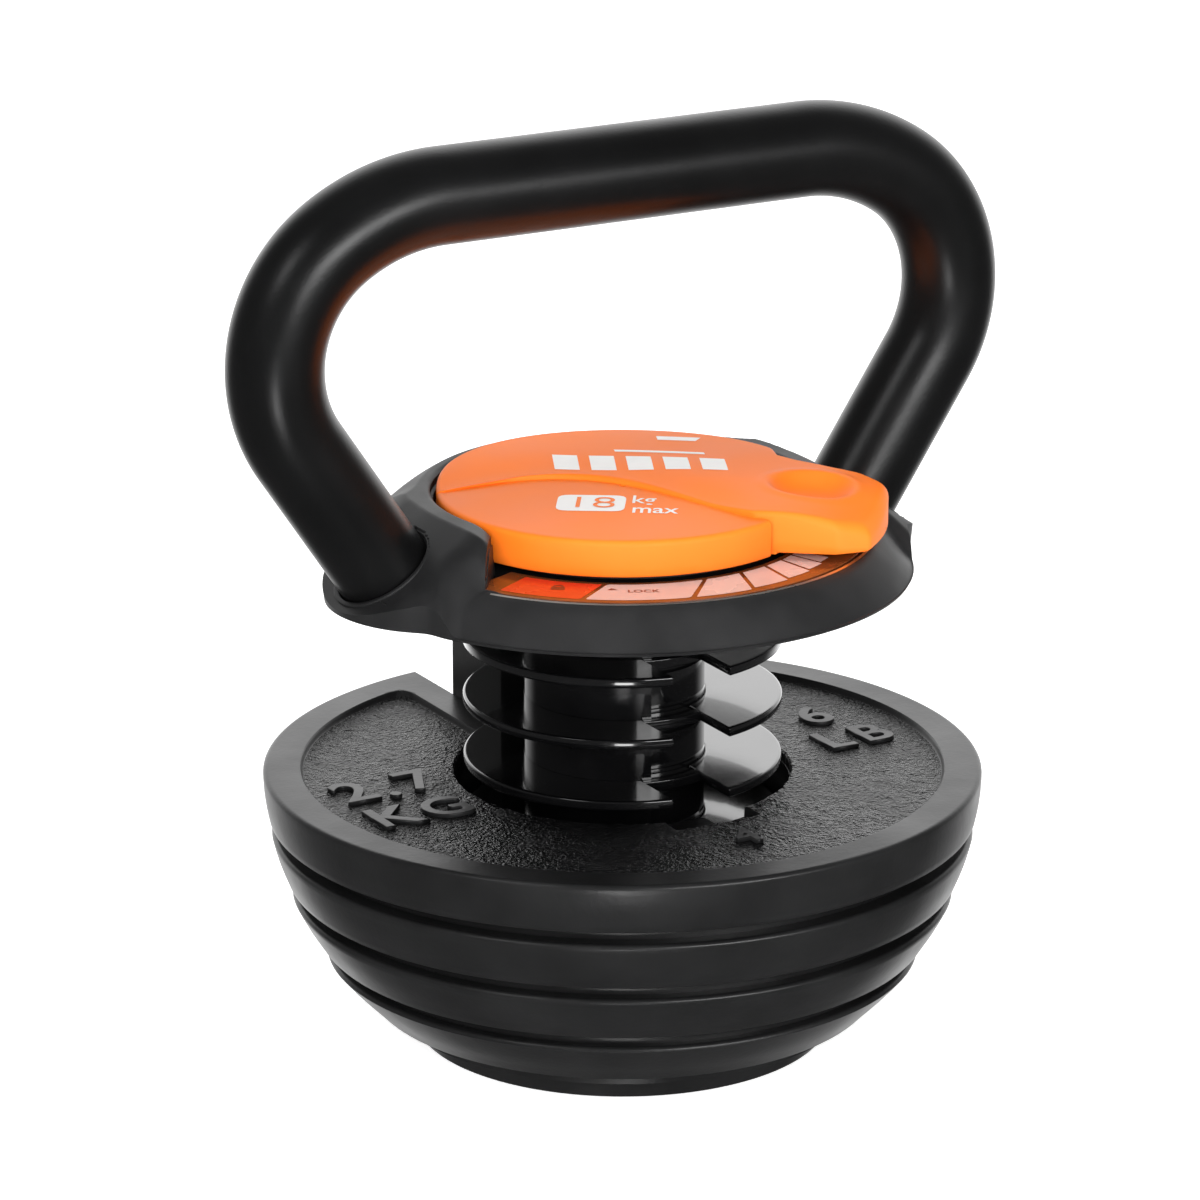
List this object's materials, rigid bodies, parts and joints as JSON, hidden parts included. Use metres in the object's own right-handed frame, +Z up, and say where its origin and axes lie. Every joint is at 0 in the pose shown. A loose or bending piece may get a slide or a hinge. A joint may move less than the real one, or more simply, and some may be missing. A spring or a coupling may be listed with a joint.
{
  "type": "adjustable kettlebell",
  "caption": "Adjustable kettlebell: bent tube handle on a collar with a lever dial, notched spool below, and slotted iron plates stacked as a bowl on a rubber foot.",
  "frame": {"origin": "centre of the foot on the floor, under the axis of the spool", "axes": "+Z up along the spool axis, +X along the grip towards the parked lever, -Y to the front"},
  "size_m": [0.2438, 0.2046, 0.2666],
  "materials": {
    "powder_coat": "satin",
    "collar_plastic": "matt",
    "dial_plastic": "satin",
    "scale_print": "gloss print",
    "carrier_plastic": "matt",
    "plate_enamel": "semi-gloss enamel",
    "spool_gloss": "gloss",
    "keel_coat": "satin",
    "bright_steel": "zinc plated",
    "bush_bronze": "turned",
    "black_rubber": "matt"
  },
  "bodies": {
    "handle_unit": {"handle_tube": "powder_coat", "tube_plug_right": "bright_steel", "tube_plug_left": "bright_steel", "leg_pins": "bright_steel", "mounting_plate": "bright_steel", "collar_shell": "collar_plastic", "lower_cover": "collar_plastic", "cover_screws": "bright_steel", "scale_ring": "scale_print", "main_bush": "bush_bronze", "thrust_washer": "bright_steel", "detent_ball": "bright_steel", "detent_spring": "bright_steel", "detent_plug": "bright_steel", "keel": "keel_coat", "keel_bolts": "bright_steel"},
    "spool": {"dial_knob": "dial_plastic", "dial_carrier": "carrier_plastic", "dial_screws": "bright_steel", "drive_key": "bright_steel", "retaining_ring": "bright_steel", "core_head": "bright_steel", "core_tube": "spool_gloss", "end_cap": "bright_steel", "tie_bolt": "bright_steel", "tie_washer": "bright_steel", "tie_nut": "bright_steel", "flange_1": "spool_gloss", "flange_2": "spool_gloss", "flange_3": "spool_gloss", "flange_4": "spool_gloss", "flange_5": "spool_gloss", "flange_6": "spool_gloss", "flange_7": "spool_gloss", "sleeve_1": "spool_gloss", "sleeve_2": "spool_gloss", "sleeve_3": "spool_gloss", "sleeve_4": "spool_gloss", "sleeve_5": "spool_gloss", "sleeve_6": "spool_gloss", "sleeve_7": "spool_gloss"},
    "plate_4": {"plate_4": "plate_enamel"},
    "plate_3": {"plate_3": "plate_enamel"},
    "plate_2": {"plate_2": "plate_enamel"},
    "plate_1": {"plate_1": "plate_enamel", "rubber_foot": "black_rubber"}
  },
  "joints": [
    {"name": "dial_turn", "type": "hinge", "parent": "handle_unit", "child": "spool", "pos_m": [0, 0, 0.15], "axis": [0, 0, 1], "range_deg": [-80, 0]},
    {"name": "plate_4_lift", "type": "slide", "parent": "handle_unit", "child": "plate_4", "axis": [0, 0, -1], "range_m": [0, 0.09]},
    {"name": "plate_3_lift", "type": "slide", "parent": "plate_4", "child": "plate_3", "axis": [0, 0, -1], "range_m": [0, 0.09]},
    {"name": "plate_2_lift", "type": "slide", "parent": "plate_3", "child": "plate_2", "axis": [0, 0, -1], "range_m": [0, 0.09]},
    {"name": "plate_1_lift", "type": "slide", "parent": "plate_2", "child": "plate_1", "axis": [0, 0, -1], "range_m": [0, 0.09]}
  ]
}
